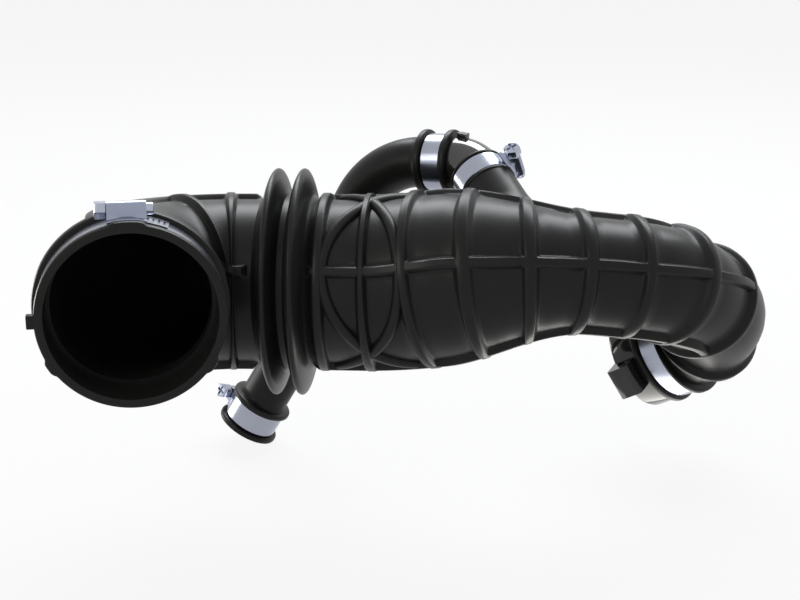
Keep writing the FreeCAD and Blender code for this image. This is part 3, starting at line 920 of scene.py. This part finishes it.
def upright_rod(segments, radius, length, edge):
    """Rod along Z about the origin with rounded ends."""
    mesh = bmesh.new()
    bmesh.ops.create_cone(
        mesh, cap_ends=True, segments=segments, radius1=radius, radius2=radius, depth=length
    )
    ends = [e for e in mesh.edges if abs(e.verts[0].co.z - e.verts[1].co.z) < 1e-6]
    bmesh.ops.bevel(
        mesh, geom=ends, offset=edge, segments=2, profile=0.5, affect="EDGES", material=-1
    )
    return mesh


def laid(mesh, degrees, start, end):
    """Turns an upright rod to lie along Y from start to end."""
    middle = Matrix.Translation((0, (start + end) / 2, 0))
    turn = Matrix.Rotation(math.radians(degrees), 4, "X")
    bmesh.ops.transform(mesh, matrix=middle @ turn, verts=mesh.verts)
    return mesh


def inner_top(mesh, length):
    """Faces of an upright rod's top, within its inset rim."""
    faces = [f for f in mesh.faces if f.calc_center_median().z > length / 2 - 1e-4]
    return [f for f in faces if max(v.co.xy.length for v in f.verts) < HEAD_RADIUS - RECESS_RIM]


def screw_head(start, end):
    """Six-sided head with a cross recess in its outer end."""
    length = end - start
    mesh = upright_rod(6, HEAD_RADIUS, length, SCREW_EDGE)
    top = max(mesh.faces, key=lambda f: f.calc_center_median().z)
    bmesh.ops.inset_region(mesh, faces=[top], thickness=SCREW_EDGE)
    for normal in ((1, 0, 0), (0, 1, 0)):
        for side in (-RECESS_HALF, RECESS_HALF):
            flat = inner_top(mesh, length)
            edges = [e for f in flat for e in f.edges]
            verts = [v for f in flat for v in f.verts]
            geom = list(dict.fromkeys(flat + edges + verts))
            bmesh.ops.bisect_plane(mesh, geom=geom, plane_co=Vector(normal) * side, plane_no=normal)
    cross = []
    for face in inner_top(mesh, length):
        middle = face.calc_center_median()
        if min(abs(middle.x), abs(middle.y)) < RECESS_HALF:
            cross.append(face)
    sunk = bmesh.ops.extrude_face_region(mesh, geom=cross)["geom"]
    bmesh.ops.delete(mesh, geom=cross, context="FACES_ONLY")
    bmesh.ops.translate(mesh, vec=(0, 0, -RECESS_DEPTH), verts=pulled_verts(sunk))
    return laid(mesh, 90.0, start, end)


def clamp_screw(outside, length, place):
    """Plated screw through the housing, head first."""
    edge = -length / 2 - CLEARANCE
    tail = length / 2 + SCREW_TAIL
    mesh = screw_head(edge - HEAD_LENGTH, edge)
    shaft = upright_rod(32, SCREW_RADIUS, tail - edge, SCREW_EDGE)
    joined(mesh, laid(shaft, -90.0, edge, tail))
    lift = Matrix.Translation((outside + SCREW_LIFT, 0, 0))
    bmesh.ops.transform(mesh, matrix=place @ lift, verts=mesh.verts)
    return mesh


def clocked(place, along, degrees):
    """Frame moved along its Z and turned so that X points at the housing."""
    turn = Matrix.Rotation(math.radians(degrees), 4, "Z")
    return place @ Matrix.Translation((0, 0, along)) @ turn


stub_band_middle = -STUB_EDGE - BAND_PLAY - VENT_BAND / 2
upper_middle = -VENT_EDGE - BAND_PLAY - VENT_BAND / 2
lower_middle = -VENT_EDGE - BAND_PLAY - LOWER_BAND / 2
outlet_middle = -VENT_EDGE - BAND_PLAY - OUTLET_BAND / 2
inlet_middle = LIP_LENGTH + BAND_PLAY + MOUTH_BAND / 2
flipped = vent.frame(0.0) @ Matrix.Rotation(math.pi, 4, "X")
stub_end = stub.frame(STUB_LENGTH)
vent_end = vent.frame(vent.length)

# Name, seat radius, band width, housing length and height, frame, place along it and clock angle
clamps = [
    ("inlet", MOUTH_SEAT, MOUTH_BAND, LARGE_HOUSING, duct.frame(0.0), inlet_middle, 90.0),
    ("outlet", OUTLET_SEAT, OUTLET_BAND, LARGE_HOUSING, outlet_end, outlet_middle, 200.0),
    ("stub", VENT_SEAT, VENT_BAND, SMALL_HOUSING, stub_end, stub_band_middle, 150.0),
    ("upper", VENT_SEAT, VENT_BAND, SMALL_HOUSING, flipped, upper_middle, 145.0),
    ("lower", VENT_SEAT, LOWER_BAND, SMALL_HOUSING, vent_end, lower_middle, 130.0),
]
for name, seat, width, housing, origin, along, clock in clamps:
    length, height = housing
    place = clocked(origin, along, clock)
    outside = seat + CLEARANCE + BAND_THICK
    play = 2 * (BAND_PLAY - CLEARANCE)
    strip = clamp_band(seat, width, place)
    joined(strip, band_tail(outside, width, length, place))
    finished(f"{name}_steel_strip", strip, "clamp_band", f"{name}_clamp_band")
    shell = clamp_housing(outside, length, height, width + play, place)
    finished(f"{name}_pressed_housing", shell, "clamp_housing", f"{name}_clamp_housing", sharp=35.0)
    bolt = clamp_screw(outside, length, place)
    finished(f"{name}_worm_screw", bolt, "clamp_screw", f"{name}_clamp_screw", sharp=30.0)


# Stage, in metres: pale floor, soft lamps, white background and the camera

WHITE = 0.965
SKY_LIGHT = 0.35
FLOOR_GLOW = 0.93
FLOOR_HALF = 6.0
FLOOR_GAP = 0.0005
FLOOR_MIDDLE = (0.13, 0.05)


def seen_by_eye(paint):
    """1 for camera, glossy and transmission rays, else 0."""
    rays = paint.node("ShaderNodeLightPath", {}, {})
    total = rays["Is Camera Ray"] + rays["Is Glossy Ray"] + rays["Is Transmission Ray"]
    return total.sum("MINIMUM", total, 1.0)


def pale_floor():
    paint = Paint(bpy.data.materials.new("pale_floor"))
    matt = paint.node("ShaderNodeBsdfDiffuse", {}, {"Color": grey(0.8)})
    glow = paint.node("ShaderNodeEmission", {}, {"Color": grey(WHITE), "Strength": 1.0})
    share = FLOOR_GLOW * seen_by_eye(paint)
    blend = paint.node("ShaderNodeMixShader", {}, {0: share, 1: matt["BSDF"], 2: glow["Emission"]})
    paint.node("ShaderNodeOutputMaterial", {}, {"Surface": blend["Shader"]})
    return paint.owner


lowest = cad_box[0][2]
ground = bmesh.new()
bmesh.ops.create_grid(ground, x_segments=1, y_segments=1, size=FLOOR_HALF)
bmesh.ops.translate(ground, vec=(*FLOOR_MIDDLE, lowest - FLOOR_GAP), verts=ground.verts)
ground_data = bpy.data.meshes.new("floor")
ground.to_mesh(ground_data)
ground.free()
ground_data.materials.append(pale_floor())
floor = bpy.data.objects.new("floor", ground_data)
bpy.context.scene.collection.objects.link(floor)

world = bpy.data.worlds.new("studio")
bpy.context.scene.world = world
sky = Paint(world)
level = SKY_LIGHT + (WHITE - SKY_LIGHT) * seen_by_eye(sky)
backdrop = sky.node("ShaderNodeBackground", {}, {"Color": grey(1.0), "Strength": level})
sky.node("ShaderNodeOutputWorld", {}, {"Surface": backdrop["Background"]})


def softbox(name, place, target, width, height, power, colour):
    """Area lamp aimed at a point, out of sight of the camera."""
    lamp = bpy.data.lights.new(name, "AREA")
    lamp.shape = "RECTANGLE"
    lamp.size = width
    lamp.size_y = height
    lamp.energy = power
    lamp.color = colour
    stand = bpy.data.objects.new(name, lamp)
    turn = (Vector(target) - Vector(place)).to_track_quat("-Z", "Y").to_matrix().to_4x4()
    stand.matrix_world = Matrix.Translation(place) @ turn
    stand.visible_camera = False
    bpy.context.scene.collection.objects.link(stand)


COOL = (0.93, 0.97, 1.0)
WARM = (1.0, 0.98, 0.93)
softbox("back_softbox", (0.40, 0.72, 0.82), (0.15, 0.06, 0.0), 1.2, 0.5, 20.0, COOL)
softbox("front_softbox", (-0.7, -0.6, 0.6), (0.1, 0.05, 0.0), 0.5, 0.5, 3.5, WARM)
softbox("side_softbox", (-0.35, 0.35, lowest + 0.06), (0.15, 0.08, -0.04), 0.30, 0.10, 0.8, WARM)
softbox("low_softbox", (0.245, 0.085, lowest), (0.245, 0.085, 0.3), 0.10, 0.05, 0.06, WARM)

# Camera where the photo was taken from
lens = bpy.data.cameras.new("camera")
lens.lens = 72.0
lens.sensor_width = 36.0
lens.clip_start = 0.01
camera = bpy.data.objects.new("camera", lens)
camera_place = Vector((10.3, -648.4, 209.4)) * MM
right = Vector((0.9874, -0.1582, 0.0))
forward = Vector((0.1508, 0.9417, -0.3007))
camera_turn = Matrix((right, right.cross(forward), -forward)).transposed().to_4x4()
camera.matrix_world = Matrix.Translation(camera_place) @ camera_turn
bpy.context.scene.collection.objects.link(camera)
bpy.context.scene.camera = camera
bpy.context.scene.view_settings.view_transform = "Standard"
